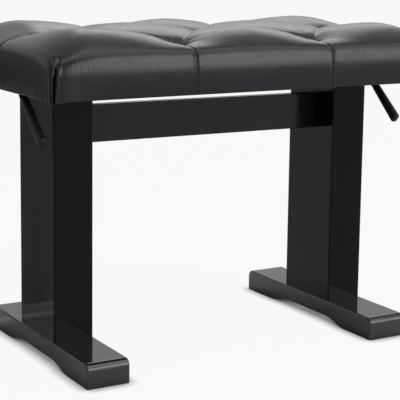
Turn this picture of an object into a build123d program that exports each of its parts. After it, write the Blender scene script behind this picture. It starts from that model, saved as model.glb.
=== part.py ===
# Height-adjustable piano bench: two box columns on block feet, a stretcher between them, and a
# padded seat that rides up and down on a sliding tube in each column. A gas spring in each column
# holds the height. A lever at either end of the seat turns one release shaft, whose two fingers
# press the valve pins of both gas springs.
#
# Millimetres. +X along the bench, -Y towards the player, +Z up. The origin is on the floor, under
# the middle of the bench. The seat is at its lowest.

from build123d import *
from math import atan2, cos, degrees, hypot, sin
import os

# Overall sizes
seat_length = 628.0        # over the leather, X
seat_depth = 355.0         # over the leather, Y
seat_underside = 383.0     # lower edge of the leather above the floor, seat lowest
seat_edge_height = 45.0    # upright part of the seat's sides
seat_crown_height = 81.0   # from the lower edge to the crown
lift_travel = 100.0        # how far the seat rises
column_spacing = 462.0     # between the middles of the columns
foot_length = 335.0

# Feet
foot_width = 63.0
foot_height = 32.5
foot_end_radius = 10.0     # top edge at each end
foot_edge_radius = 2.5
foot_pad_length = 60.0     # flat sole at each end
foot_arch_rise = 9.0
foot_ramp_run = 56.0       # from the sole up to the arch
glide_radius = 11.0
glide_proud = 1.0
glide_recess = 2.5
glide_inset = 26.0         # from the foot's end to the glide's middle
overcut = 1.0              # how far a cut runs past the face it opens

# Columns
column_width = 59.0
column_depth = 117.0
column_wall = 9.0
column_edge_radius = 2.5
column_gap_to_seat = 6.0   # between column top and seat underside
base_block_height = 45.0
block_clearance = 0.15     # around the base block

# Column bolts, from below through the foot into the base block
bolt_radius = 4.0
bolt_head_radius = 6.5
bolt_head_height = 5.0
bolt_reach = 24.0          # into the base block
bolt_spacing = 60.0
bolt_counterbore_depth = 8.0
bolt_hole_spare = 2.0      # beyond the bolt's tip
counterbore_clearance = 0.5
washer_radius = 8.5
washer_thickness = 1.5
insert_radius = 6.0
insert_length = 20.0
bore_clearance = 0.1       # around fasteners
screw_clearance = 0.05     # around screws in wood and grub screws

# Stretcher
stretcher_height = 53.5
stretcher_thickness = 18.0
stretcher_underside = 300.0
stretcher_edge_radius = 1.5
stretcher_screw_radius = 2.5
stretcher_screw_length = 48.0
stretcher_screw_spacing = 27.0
screw_head_radius = 4.5
screw_head_height = 2.6

# Sliding tubes and their guides
tube_width = 35.0
tube_depth = 86.0
tube_wall = 2.0
tube_edge_radius = 3.0
tube_left_inside = 172.0   # below the column's top, seat highest
slide_clearance = 0.25     # between a tube and its guide collar
collar_flange = 2.0
collar_height = 40.0       # part of the collar inside the column
collar_fit = 0.1           # between the collar and the column
collar_flange_inset = 0.5  # from the column's faces
collar_corner_radius = 0.5
lower_guide_radius = 1.0
lower_guide_height = 30.0
lower_guide_clearance = 0.3
buffer_radius = 4.0
buffer_clearance = 0.3
buffer_spacing = 101.0

# Gas springs
cylinder_radius = 14.0
cylinder_wall = 1.2
cylinder_end = 4.0
cylinder_head_room = 21.0  # above the piston, seat highest
gland_length = 8.0
eye_width = 8.0
eye_radius = 9.0
eye_drop = 8.0             # from the cylinder's end to the middle of its eye
eye_neck = 14.4            # width of the neck between eye and cylinder
eye_weld = 0.5             # how deep the neck runs into the cylinder's end
eye_above_plate = 12.0     # from the bracket's plate to the middle of the eye
eye_side_clearance = 0.5
rod_radius = 5.0
rod_clearance = 0.05
piston_clearance = 0.1
piston_length = 12.0
piston_height = 45.0       # above the cylinder's floor, seat lowest
rod_end_above_nut = 0.5
nut_width = 16.0           # across flats
nut_thickness = 5.0
spring_pin_radius = 4.0
spring_pin_overhang = 2.5  # beyond the bracket's ears
spring_pin_rim = 2.0       # radius and thickness that the pin's head adds
bracket_plate = 2.5
bracket_length = 62.0
bracket_ear_height = 19.0
bracket_ear_length = 22.0
bracket_ear_chamfer = 4.0
bracket_screw_spacing = 44.0
bracket_screw_length = 22.0

# Seat carriers: steel channels under the seat board
carrier_above_edge = 2.0      # underside of the web above the seat's lower edge
carrier_plate = 3.0
carrier_width = 57.0
carrier_length = 230.0
carrier_flange = 17.0
carrier_bend_radius = 2.0
carrier_screw_radius = 2.0
carrier_screw_length = 11.0
carrier_screw_head = 2.0
carrier_screw_places = (-90.0, 90.0)

# Release shaft, levers, fingers and valve pins
shaft_radius = 5.0
shaft_above_carrier = 14.5    # shaft axis above the carrier's web
shaft_running_clearance = 0.05
bush_radius = 6.5
bush_flange_radius = 8.5
bush_flange = 1.5
lever_spacing = 585.0
lever_length = 128.5          # from the shaft to the grip's end
lever_slope = 48.3            # degrees from straight down, towards the player
lever_hub_radius = 9.0
lever_hub_width = 12.0
lever_hub_chamfer = 0.8
arm_thickness = 5.0
arm_width = 7.0
arm_short_of_end = 12.0       # the grip's solid tip beyond the arm
grip_start = 38.0             # from the shaft
grip_thickness = 11.0         # X
grip_top_width = 10.0         # across the lever
grip_end_width = 15.5
grip_edge_radius = 1.5
grip_end_radius = 3.0
finger_reach = 10.0           # from the shaft to the valve pin's axis
finger_hub_radius = 7.2
finger_width = 12.0
finger_nose_radius = 3.0
finger_gap = 0.3              # between finger and valve pin at rest
set_screw_radius = 2.5
set_screw_length = 3.5
finger_screw_length = 2.0
valve_pin_radius = 2.0
valve_head_radius = 3.5
valve_head_height = 2.0
valve_pin_length = 28.0
valve_bore_spare = 1.0        # below the pin when it is pressed
valve_stroke = 2.7
valve_stand_off = 5.0         # pin's top above the rod's end

# Seat frame and upholstery
cover_thickness = 1.5
cover_gap = 0.3
hem_width = 12.0
hem_inset = 0.25              # from the skin's outer face
seat_corner_radius = 16.0
edge_roll = 48.0              # how far in the crown's edge curve runs
edge_radius = 22.0            # tight start of that curve
rail_height = 28.0
rail_thickness = 18.0
end_rail_thickness = 12.0
board_thickness = 12.0
corner_block_leg = 38.0
corner_block_height = 24.0
corner_block_nose = 3.0
board_screw_length = 32.0
board_screw_radius = 2.0
board_screw_head_radius = 3.5
board_screw_pitch = 270.0

# Heights and places that follow
foot_top = glide_proud + foot_height
column_top = seat_underside - column_gap_to_seat
block_top = foot_top + base_block_height
inner_width = column_width - 2 * column_wall
inner_depth = column_depth - 2 * column_wall
collar_top = column_top + collar_flange
rail_bottom = seat_underside + cover_thickness + cover_gap
rail_top = rail_bottom + rail_height
board_top = rail_top + board_thickness
crown_top = seat_underside + seat_crown_height
carrier_top = rail_top
carrier_web = seat_underside + carrier_above_edge
web_top = carrier_web + carrier_plate
shaft_height = web_top + shaft_above_carrier
frame_half_length = seat_length / 2 - cover_thickness - cover_gap
frame_half_depth = seat_depth / 2 - cover_thickness - cover_gap
spring_offset = finger_reach               # gas springs stand this far behind the shaft
eye_height = block_top + bracket_plate + eye_above_plate
cylinder_bottom = eye_height + eye_drop
chamber_length = piston_height + piston_length + lift_travel + cylinder_head_room
cylinder_length = cylinder_end + chamber_length + gland_length
cylinder_top = cylinder_bottom + cylinder_length
rod_top = web_top + nut_thickness + rod_end_above_nut
valve_top = rod_top + valve_stand_off
nose_height = valve_top + finger_gap + finger_nose_radius
tube_bottom = column_top - lift_travel - tube_left_inside
sides = {"left": -1, "right": 1}


def box(x_range, y_range, z_range):
    size = [high - low for low, high in (x_range, y_range, z_range)]
    middle = [(high + low) / 2 for low, high in (x_range, y_range, z_range)]
    return Pos(*middle) * Box(*size)


def upright(radius, bottom, top, x=0.0, y=0.0):
    return Pos(x, y, (bottom + top) / 2) * Cylinder(radius, top - bottom)


# A cylinder along X, from start to end
def crosswise(radius, start, end, y=0.0, z=0.0):
    return Pos((start + end) / 2, y, z) * Rot(0, 90, 0) * Cylinder(radius, abs(end - start))


def rounded_post(width, depth, radius, bottom, top, x=0.0, y=0.0):
    return Pos(x, y, bottom) * extrude(RectangleRounded(width, depth, radius), top - bottom)


def column_x(side):
    return sides[side] * column_spacing / 2


# A block foot: rounded top at both ends, a long arch between two flat soles
def foot(side):
    half = foot_length / 2
    ramp_in, ramp_out = half - foot_pad_length - foot_ramp_run, half - foot_pad_length
    ramp_middle = ((ramp_in + ramp_out) / 2, foot_arch_rise / 2)
    upper = TangentArc((ramp_in, foot_arch_rise), ramp_middle, tangent=(1, 0))
    lower = TangentArc(ramp_middle, (ramp_out, 0), tangent=upper % 1)
    shoulder = foot_height - foot_end_radius
    sole = Polyline((ramp_out, 0), (half, 0), (half, shoulder))
    end = TangentArc((half, shoulder), (half - foot_end_radius, foot_height), tangent=(0, 1))
    top = Line((half - foot_end_radius, foot_height), (0, foot_height))
    arch = Line((0, foot_arch_rise), (ramp_in, foot_arch_rise))
    right_half = Curve() + [arch, upper, lower, sole, end, top]
    outline = Plane.YZ * make_face(right_half + mirror(right_half, about=Plane.YZ))
    body = extrude(outline, foot_width / 2, both=True)
    flanks = body.faces().filter_by(Axis.X).edges()
    upper_edges = [edge for edge in flanks if edge.center().Z > foot_arch_rise + foot_edge_radius]
    body = fillet(upper_edges, foot_edge_radius)
    for place in (-1, 1):
        glide_y = place * (half - glide_inset)
        body -= upright(glide_radius + bore_clearance, -overcut, glide_recess, 0, glide_y)
        bolt_y = place * bolt_spacing / 2
        body -= upright(bolt_radius + bore_clearance, 0, foot_height + overcut, 0, bolt_y)
        counterbore_top = foot_arch_rise + bolt_counterbore_depth
        body -= upright(washer_radius + counterbore_clearance, 0, counterbore_top, 0, bolt_y)
    return Pos(column_x(side), 0, glide_proud) * body


def foot_glides():
    glides = []
    for side in sides:
        for place in (-1, 1):
            y = place * (foot_length / 2 - glide_inset)
            glides.append(upright(glide_radius, 0, glide_proud + glide_recess, column_x(side), y))
    return glides


# A column is a hollow box, open at both ends
def column(side):
    x = column_x(side)
    casing = rounded_post(column_width, column_depth, column_edge_radius, foot_top, column_top, x)
    casing -= box((x - inner_width / 2, x + inner_width / 2), (-inner_depth / 2, inner_depth / 2),
                  (foot_top - overcut, column_top + overcut))
    for z in stretcher_screw_heights():
        casing -= screw_void(side, z)
    return casing


def stretcher_screw_heights():
    middle = stretcher_underside + stretcher_height / 2
    return [middle - stretcher_screw_spacing / 2, middle + stretcher_screw_spacing / 2]


# A countersunk screw through the column's inner wall into the end of the stretcher
def stretcher_screw(side, z, grow=0.0):
    inward = -sides[side]
    start = column_x(side) + inward * inner_width / 2
    shank_end = start + inward * stretcher_screw_length
    shank = crosswise(stretcher_screw_radius + grow, start, shank_end, 0, z)
    head = Cone(screw_head_radius + grow, stretcher_screw_radius + grow, screw_head_height)
    head = Pos(start + inward * screw_head_height / 2, 0, z) * Rot(0, 90 * inward, 0) * head
    return shank + head


def screw_void(side, z):
    return stretcher_screw(side, z, bore_clearance)


def stretcher():
    half = column_spacing / 2 - column_width / 2
    low = stretcher_underside
    thick = stretcher_thickness / 2
    rail = box((-half, half), (-thick, thick), (low, low + stretcher_height))
    rail = fillet(rail.edges().filter_by(Axis.X), stretcher_edge_radius)
    for side in sides:
        for z in stretcher_screw_heights():
            rail -= screw_void(side, z)
    return rail


def stretcher_screws():
    return [stretcher_screw(side, z) for side in sides for z in stretcher_screw_heights()]


def bolt_places():
    return [(column_x(side), place * bolt_spacing / 2) for side in sides for place in (-1, 1)]


# The wooden block glued into the foot of a column, with its threaded inserts' holes
def base_block(side):
    x = column_x(side)
    half_width = inner_width / 2 - block_clearance
    half_depth = inner_depth / 2 - block_clearance
    block = box((x - half_width, x + half_width), (-half_depth, half_depth), (foot_top, block_top))
    for place in (-1, 1):
        y = place * bolt_spacing / 2
        block -= upright(insert_radius, foot_top - overcut, foot_top + insert_length, x, y)
        bolt_end = foot_top + bolt_reach + bolt_hole_spare
        block -= upright(bolt_radius + bore_clearance, foot_top, bolt_end, x, y)
        y = bracket_middle() + place * bracket_screw_spacing / 2
        ends = (block_top - bracket_screw_length, block_top + overcut)
        block -= upright(stretcher_screw_radius + screw_clearance, *ends, x, y)
    return block


def threaded_inserts():
    inserts = []
    for x, y in bolt_places():
        insert = upright(insert_radius, foot_top, foot_top + insert_length, x, y)
        bore_top = foot_top + insert_length + overcut
        bore = upright(bolt_radius + screw_clearance, foot_top - overcut, bore_top, x, y)
        inserts.append(insert - bore)
    return inserts


def washer_seat():
    return glide_proud + foot_arch_rise + bolt_counterbore_depth


def foot_bolts():
    bolts = []
    head_top = washer_seat() - washer_thickness
    for x, y in bolt_places():
        head = Pos(x, y, head_top - bolt_head_height)
        head *= extrude(RegularPolygon(bolt_head_radius, 6, major_radius=False), bolt_head_height)
        bolts.append(head + upright(bolt_radius, head_top, foot_top + bolt_reach, x, y))
    return bolts


def foot_washers():
    washers = []
    for x, y in bolt_places():
        washer = upright(washer_radius, washer_seat() - washer_thickness, washer_seat(), x, y)
        bore = upright(bolt_radius + bore_clearance, 0, foot_top, x, y)
        washers.append(washer - bore)
    return washers


def bracket_middle():
    return spring_offset


# The clevis on the base block that holds the lower eye of a gas spring
def spring_bracket(side):
    x, y = column_x(side), bracket_middle()
    ear_in = eye_width / 2 + eye_side_clearance
    ear_out = ear_in + bracket_plate
    top = block_top + bracket_plate
    half = bracket_length / 2
    bracket = box((x - ear_out, x + ear_out), (y - half, y + half), (block_top, top))
    for place in (-1, 1):
        ear_x = sorted((x + place * ear_in, x + place * ear_out))
        ear_y = (y - bracket_ear_length / 2, y + bracket_ear_length / 2)
        ear = box(ear_x, ear_y, (top, block_top + bracket_ear_height))
        ear = chamfer(ear.edges().filter_by(Axis.X).group_by(Axis.Z)[-1], bracket_ear_chamfer)
        bracket += ear
        screw_y = y + place * bracket_screw_spacing / 2
        hole_radius = stretcher_screw_radius + screw_clearance
        bracket -= upright(hole_radius, block_top - overcut, top + overcut, x, screw_y)
    pin_hole = spring_pin_radius + rod_clearance
    ends = (x - ear_out - overcut, x + ear_out + overcut)
    return bracket - crosswise(pin_hole, *ends, y, eye_height)


def bracket_screws():
    screws = []
    top = block_top + bracket_plate
    for side in sides:
        for place in (-1, 1):
            x, y = column_x(side), bracket_middle() + place * bracket_screw_spacing / 2
            bottom = top - bracket_screw_length
            shank = upright(stretcher_screw_radius, bottom, top, x, y)
            head = upright(screw_head_radius, top, top + screw_head_height, x, y)
            screws.append(shank + head)
    return screws


def spring_pins():
    pins = []
    reach = eye_width / 2 + bracket_plate + spring_pin_overhang
    for side in sides:
        x, y = column_x(side), spring_offset
        pin = crosswise(spring_pin_radius, x - reach, x + reach, y, eye_height)
        head_end = x + reach + spring_pin_rim
        head = crosswise(spring_pin_radius + spring_pin_rim, x + reach, head_end, y, eye_height)
        pins.append(pin + head)
    return pins


def gas_cylinder(side):
    x, y = column_x(side), spring_offset
    tube = upright(cylinder_radius, cylinder_bottom, cylinder_top, x, y)
    bore_radius = cylinder_radius - cylinder_wall
    chamber_bottom = cylinder_bottom + cylinder_end
    tube -= upright(bore_radius, chamber_bottom, cylinder_top - gland_length, x, y)
    tube -= upright(rod_radius + rod_clearance, chamber_bottom, cylinder_top + overcut, x, y)
    half = eye_width / 2
    tongue = crosswise(eye_radius, x - half, x + half, y, eye_height)
    neck_y = (y - eye_neck / 2, y + eye_neck / 2)
    tongue += box((x - half, x + half), neck_y, (eye_height, cylinder_bottom + eye_weld))
    ends = (x - half - overcut, x + half + overcut)
    return tube + tongue - crosswise(spring_pin_radius + rod_clearance, *ends, y, eye_height)


# The rod, with its piston inside the cylinder and its bored, threaded end in the carrier
def gas_rod(side):
    x, y = column_x(side), spring_offset
    piston_bottom = cylinder_bottom + cylinder_end + piston_height
    piston_radius = cylinder_radius - cylinder_wall - piston_clearance
    rod = upright(rod_radius, piston_bottom, rod_top, x, y)
    rod += upright(piston_radius, piston_bottom, piston_bottom + piston_length, x, y)
    bore_bottom = valve_top - valve_pin_length - valve_stroke - valve_bore_spare
    return rod - upright(valve_pin_radius + rod_clearance, bore_bottom, rod_top + overcut, x, y)


def valve_pin(side):
    x, y = column_x(side), spring_offset
    pin = upright(valve_pin_radius, valve_top - valve_pin_length, valve_top, x, y)
    head = upright(valve_head_radius, valve_top - valve_head_height, valve_top, x, y)
    return pin + head


def rod_nuts():
    nuts = []
    for side in sides:
        for bottom in (carrier_web - nut_thickness, web_top):
            nut = extrude(RegularPolygon(nut_width / 2, 6, major_radius=False), nut_thickness)
            nut = Pos(column_x(side), spring_offset, bottom) * nut
            ends = (bottom - overcut, bottom + nut_thickness + overcut)
            bore = upright(rod_radius + rod_clearance, *ends, column_x(side), spring_offset)
            nuts.append(nut - bore)
    return nuts


def slide_tube(side):
    x = column_x(side)
    tube = rounded_post(tube_width, tube_depth, tube_edge_radius, tube_bottom, carrier_web, x)
    inside = (tube_width - 2 * tube_wall, tube_depth - 2 * tube_wall, tube_edge_radius - tube_wall)
    return tube - rounded_post(*inside, tube_bottom - overcut, carrier_web + overcut, x)


# The nylon collar in the top of a column, which the sliding tube runs through
def guide_collar(side):
    x = column_x(side)
    fit_width, fit_depth = inner_width - 2 * collar_fit, inner_depth - 2 * collar_fit
    sleeve_size = (fit_width, fit_depth, collar_corner_radius)
    sleeve = rounded_post(*sleeve_size, column_top - collar_height, column_top, x)
    rim = 2 * collar_flange_inset
    flange_size = (column_width - rim, column_depth - rim, column_edge_radius)
    sleeve += rounded_post(*flange_size, column_top, collar_top, x)
    passage = (tube_width + 2 * slide_clearance, tube_depth + 2 * slide_clearance)
    passage_radius = tube_edge_radius + slide_clearance
    return sleeve - rounded_post(*passage, passage_radius, 0, collar_top + overcut, x)


# Nylon shoes round the lower ends of the sliding tubes
def lower_guides():
    shoes = []
    for side in sides:
        x = column_x(side)
        width = inner_width - 2 * lower_guide_clearance
        depth = inner_depth - 2 * lower_guide_clearance
        top = tube_bottom + lower_guide_height
        shoe = rounded_post(width, depth, lower_guide_radius, tube_bottom, top, x)
        passage = (tube_width, tube_depth, tube_edge_radius)
        shoes.append(shoe - rounded_post(*passage, tube_bottom - overcut, top + overcut, x))
    return shoes


# Rubber buffers under the carriers, which land on the collars when the seat is lowest
def buffer_pads():
    pads = []
    for side in sides:
        for place in (-1, 1):
            y = place * buffer_spacing / 2
            bottom = collar_top + buffer_clearance
            pads.append(upright(buffer_radius, bottom, carrier_web, column_x(side), y))
    return pads


def bush_walls():
    half = carrier_width / 2
    return [(column_x(side) + place * half, place) for side in sides for place in (-1, 1)]


# A folded channel: its web carries the tube and the rod, its walls the release shaft
def carrier(side):
    x = column_x(side)
    half, plate = carrier_width / 2, carrier_plate
    reach = (-carrier_length / 2, carrier_length / 2)
    channel = box((x - half, x + half), reach, (carrier_web, carrier_top))
    channel -= box((x - half + plate, x + half - plate), reach, (web_top, carrier_top))
    for place in (-1, 1):
        flange_x = sorted((x + place * (half - plate), x + place * (half + carrier_flange)))
        channel += box(flange_x, reach, (carrier_top - plate, carrier_top))
    bends = channel.edges().filter_by(Axis.Y)
    bends = [edge for edge in bends if abs(abs(edge.center().X - x) - half) < plate / 2
             and edge.center().Z < carrier_top - plate / 2]
    channel = fillet(bends, carrier_bend_radius)
    for wall_x, place in bush_walls():
        ends = sorted((wall_x - place * (plate + overcut), wall_x + place * overcut))
        bush_hole = bush_radius + shaft_running_clearance
        channel -= crosswise(bush_hole, *ends, 0, shaft_height)
    hole = (carrier_web - overcut, web_top + overcut, x, spring_offset)
    channel -= upright(rod_radius + bore_clearance, *hole)
    for screw_x, screw_y in carrier_screw_holes(side):
        hole = (carrier_top - plate - overcut, carrier_top + overcut, screw_x, screw_y)
        channel -= upright(carrier_screw_radius + bore_clearance, *hole)
    return channel


def carrier_screw_holes(side):
    offset = carrier_width / 2 + carrier_flange / 2
    return [(column_x(side) + place * offset, y) for place in (-1, 1) for y in carrier_screw_places]


def carrier_screws():
    screws = []
    head_top = carrier_top - carrier_plate
    for side in sides:
        for x, y in carrier_screw_holes(side):
            head = extrude(RegularPolygon(2 * carrier_screw_radius, 6), carrier_screw_head)
            head = Pos(x, y, head_top - carrier_screw_head) * head
            tip = carrier_top + carrier_screw_length - carrier_plate
            screws.append(head + upright(carrier_screw_radius, head_top, tip, x, y))
    return screws


def shaft_bushes():
    bushes = []
    for wall_x, place in bush_walls():
        seat = wall_x - place * carrier_plate
        inner = seat - place * bush_flange
        bush = crosswise(bush_radius, seat, wall_x, 0, shaft_height)
        bush += crosswise(bush_flange_radius, inner, seat, 0, shaft_height)
        bore = shaft_radius + shaft_running_clearance
        ends = (inner - place * overcut, wall_x + place * overcut)
        bushes.append(bush - crosswise(bore, *ends, 0, shaft_height))
    return bushes


def release_shaft():
    half = lever_spacing / 2 + lever_hub_width / 2
    return crosswise(shaft_radius, -half, half, 0, shaft_height)


# Puts a shape drawn round the shaft, with the lever straight down, in its place at one end
def at_lever(side, shape):
    return Pos(sides[side] * lever_spacing / 2, 0, shaft_height) * Rot(-lever_slope, 0, 0) * shape


def arm_solid(grow=0.0):
    half_x, half_y = arm_thickness / 2 + grow, arm_width / 2 + grow
    tip = -lever_length + arm_short_of_end
    return box((-half_x, half_x), (-half_y, half_y), (tip - grow, 0))


def lever(side):
    half = lever_hub_width / 2
    hub = crosswise(lever_hub_radius, -half, half)
    body = chamfer(hub.edges().filter_by(GeomType.CIRCLE), lever_hub_chamfer) + arm_solid()
    body -= crosswise(shaft_radius + shaft_running_clearance, -half - overcut, half + overcut)
    body -= Rot(90, 0, 0) * upright(set_screw_radius, 0, lever_hub_radius + overcut)
    return at_lever(side, body)


# A moulded grip that widens towards its squared end
def grip(side):
    top, end = grip_top_width / 2, grip_end_width / 2
    corners = [(-top, -grip_start), (top, -grip_start), (end, -lever_length), (-end, -lever_length)]
    outline = Plane.YZ * make_face(Polyline(*corners, close=True))
    body = extrude(outline, grip_thickness / 2, both=True)
    body = fillet(body.edges().filter_by(Axis.X).group_by(Axis.Z)[0], grip_end_radius)
    flanks = body.faces().filter_by(Axis.X).edges()
    body = fillet(flanks, grip_edge_radius)
    return at_lever(side, body - arm_solid(shaft_running_clearance))


# A finger pinned to the shaft, whose rounded nose stands over a valve pin
def valve_finger(side):
    x = column_x(side)
    half = finger_width / 2
    drop = shaft_height - nose_height
    hub = crosswise(finger_hub_radius, x - half, x + half, 0, shaft_height)
    nose = crosswise(finger_nose_radius, x - half, x + half, finger_reach, nose_height)
    reach = hypot(finger_reach, drop)
    bar = box((x - half, x + half), (0, reach), (-finger_nose_radius, finger_nose_radius))
    bar = Pos(0, 0, shaft_height) * Rot(-degrees(atan2(drop, finger_reach)), 0, 0) * bar
    finger = hub + bar + nose
    bore = shaft_radius + shaft_running_clearance
    finger -= crosswise(bore, x - half - overcut, x + half + overcut, 0, shaft_height)
    screw_hole = Pos(x, -finger_hub_radius / 2, shaft_height) * Rot(90, 0, 0)
    return finger - screw_hole * Cylinder(set_screw_radius, finger_hub_radius)


# Grub screws that hold the levers and the fingers on the shaft
def set_screws():
    screws = []
    for side in sides:
        start = shaft_radius + shaft_running_clearance
        radius = set_screw_radius - screw_clearance
        grub = Rot(90, 0, 0) * upright(radius, start, start + set_screw_length)
        screws.append(at_lever(side, grub))
        grub = Rot(90, 0, 0) * upright(radius, start, start + finger_screw_length)
        screws.append(Pos(column_x(side), 0, shaft_height) * grub)
    return screws


def long_rail(place):
    y = sorted((place * frame_half_depth, place * (frame_half_depth - rail_thickness)))
    rail = box((-frame_half_length, frame_half_length), y, (rail_bottom, rail_top))
    corners = rail.edges().filter_by(Axis.Z).group_by(SortBy.DISTANCE)[-1]
    return drill_board_screws(fillet(corners, seat_corner_radius - cover_thickness))


def end_rail(side):
    place = sides[side]
    x = sorted((place * frame_half_length, place * (frame_half_length - end_rail_thickness)))
    half = frame_half_depth - rail_thickness
    return box(x, (-half, half), (rail_bottom, rail_top))


# Glue blocks in the corners of the seat frame
def corner_blocks():
    blocks = []
    leg = corner_block_leg
    triangle = make_face(Polyline((0, 0), (-leg, 0), (0, -leg), close=True))
    block = extrude(triangle, corner_block_height)
    block = chamfer(block.edges().filter_by(Axis.Z).sort_by(Axis.X)[0], corner_block_nose)
    x = frame_half_length - end_rail_thickness
    y = frame_half_depth - rail_thickness
    block = Pos(x, y, rail_top - corner_block_height) * block
    for one in (block, mirror(block, Plane.YZ)):
        blocks += [one, mirror(one, Plane.XZ)]
    return blocks


def board_screw_places():
    y = frame_half_depth - rail_thickness / 2
    count = int((frame_half_length - rail_thickness) // board_screw_pitch)
    steps = range(-count, count + 1)
    return [(step * board_screw_pitch, place * y) for step in steps for place in (-1, 1)]


def board_screw(x, y, grow=0.0):
    bottom = board_top - board_screw_length
    shank = upright(board_screw_radius + grow, bottom - grow, board_top, x, y)
    head = Cone(board_screw_radius + grow, board_screw_head_radius + grow, screw_head_height)
    return shank + Pos(x, y, board_top - screw_head_height / 2) * head


def drill_board_screws(piece):
    for x, y in board_screw_places():
        piece -= board_screw(x, y, screw_clearance)
    return piece


def seat_board():
    size = (2 * frame_half_length, 2 * frame_half_depth, seat_corner_radius - cover_thickness)
    board = drill_board_screws(rounded_post(*size, rail_top, board_top))
    for side in sides:
        for x, y in carrier_screw_holes(side):
            tip = carrier_top + carrier_screw_length - carrier_plate + bore_clearance
            board -= upright(carrier_screw_radius + screw_clearance, rail_top - overcut, tip, x, y)
    return board


# A block with upright sides, whose top edge rolls over into a flat crown on two tangent arcs, a
# tight one and a wide one; inset moves every outer face inwards
def crowned_block(bottom, inset):
    edge = seat_underside + seat_edge_height
    crown = crown_top - inset
    length, depth = seat_length - 2 * inset, seat_depth - 2 * inset
    tight, run, rise = edge_radius - inset, edge_roll - inset, crown - edge
    wide = ((run - tight) ** 2 + rise ** 2 - tight ** 2) / (2 * (rise - tight))
    turn = atan2(wide - rise, run - tight)

    def outline(span):
        half = span / 2
        joint = (half - tight + tight * cos(turn), edge + tight * sin(turn))
        side = Polyline((0, bottom), (half, bottom), (half, edge))
        shoulder = TangentArc((half, edge), joint, tangent=(0, 1))
        crest = TangentArc(joint, (half - run, crown), tangent=shoulder % 1)
        top = Line((half - run, crown), (0, crown))
        right = Curve() + [side, shoulder, crest, top]
        return make_face(right + mirror(right, about=Plane.YZ))

    along = extrude(Plane.XZ * outline(length), depth, both=True)
    across = extrude(Plane.YZ * outline(depth), length, both=True)
    plan = rounded_post(length, depth, seat_corner_radius - inset, bottom, crown + overcut)
    return along & across & plan


def seat_cushion():
    return crowned_block(board_top, cover_thickness + cover_gap)


# The leather: top and sides in one skin, with a hem turned in under the rails
def seat_cover():
    skin = crowned_block(seat_underside, 0)
    skin -= crowned_block(seat_underside - overcut, cover_thickness)
    hem_top = seat_underside + cover_thickness
    hem_size = (seat_length - 2 * hem_inset, seat_depth - 2 * hem_inset)
    hem = rounded_post(*hem_size, seat_corner_radius - hem_inset, seat_underside, hem_top)
    half_x, half_y = seat_length / 2 - hem_width, seat_depth / 2 - hem_width
    opening = (seat_underside - overcut, hem_top + overcut)
    opening = box((-half_x, half_x), (-half_y, half_y), opening)
    return skin + (hem - opening)


def save(name, shape):
    solids = shape if isinstance(shape, list) else [shape]
    flat = [solid for item in solids for solid in item.solids()]
    whole = flat[0] if len(flat) == 1 else Compound(children=flat)
    whole.label = name
    export_step(whole, f"parts/{name}.step")


os.makedirs("parts", exist_ok=True)

for side in sides:
    paired = {
        "foot": foot, "column": column, "base_block": base_block, "spring_bracket": spring_bracket,
        "gas_cylinder": gas_cylinder, "guide_collar": guide_collar, "slide_tube": slide_tube,
        "carrier": carrier, "gas_rod": gas_rod, "end_rail": end_rail, "lever": lever,
        "grip": grip, "valve_finger": valve_finger, "valve_pin": valve_pin,
    }
    for name, make in paired.items():
        save(f"{side}_{name}", make(side))

save("stretcher", stretcher())
save("front_rail", long_rail(-1))
save("back_rail", long_rail(1))
for make in (stretcher_screws, foot_glides, foot_bolts, foot_washers, threaded_inserts,
             bracket_screws, spring_pins, lower_guides, buffer_pads, rod_nuts, carrier_screws,
             shaft_bushes, release_shaft, set_screws, corner_blocks, seat_board, seat_cushion,
             seat_cover):
    save(make.__name__, make())
save("board_screws", [board_screw(x, y) for x, y in board_screw_places()])
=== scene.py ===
# Piano bench: a tufted leather seat on two lacquered columns. Metres, in the CAD's frame.
import math

import bpy
import numpy as np
from mathutils import Matrix, Quaternion, Vector


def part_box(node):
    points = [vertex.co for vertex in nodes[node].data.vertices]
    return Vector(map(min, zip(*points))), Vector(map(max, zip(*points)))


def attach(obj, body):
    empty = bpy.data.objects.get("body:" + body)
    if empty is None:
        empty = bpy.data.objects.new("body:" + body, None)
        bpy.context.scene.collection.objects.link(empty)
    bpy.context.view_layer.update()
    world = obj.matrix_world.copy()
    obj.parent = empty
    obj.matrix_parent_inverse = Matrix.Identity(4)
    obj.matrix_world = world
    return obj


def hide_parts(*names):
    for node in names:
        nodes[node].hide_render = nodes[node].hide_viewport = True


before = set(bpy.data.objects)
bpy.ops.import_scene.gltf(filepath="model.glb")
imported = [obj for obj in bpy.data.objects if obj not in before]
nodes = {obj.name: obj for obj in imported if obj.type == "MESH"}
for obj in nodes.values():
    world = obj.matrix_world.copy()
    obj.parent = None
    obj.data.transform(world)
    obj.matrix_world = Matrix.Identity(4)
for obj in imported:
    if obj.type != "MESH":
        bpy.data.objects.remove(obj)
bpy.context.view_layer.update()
print("frame loaded")


# Helpers

def deselect():
    if bpy.context.object and bpy.context.object.mode == "EDIT":
        bpy.ops.object.mode_set(mode="OBJECT")
    bpy.ops.object.select_all(action="DESELECT")


def selectOnly(piece):
    deselect()
    piece.select_set(True)
    bpy.context.view_layer.objects.active = piece


# A node with its inputs set or linked
def addNode(tree, kind, inputs=(), **settings):
    node = tree.nodes.new("ShaderNode" + kind)
    for name, value in settings.items():
        setattr(node, name, value)
    for name, value in dict(inputs).items():
        if isinstance(value, bpy.types.NodeSocket):
            tree.links.new(value, node.inputs[name])
        else:
            node.inputs[name].default_value = value
    return node


def mathNode(tree, operation, *values):
    return addNode(tree, "Math", enumerate(values), operation=operation).outputs[0]


def mixColours(tree, share, first, second):
    named = {"Factor": share, "A": first, "B": second}
    return addNode(tree, "Mix", named, data_type="RGBA").outputs["Result"]


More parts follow.
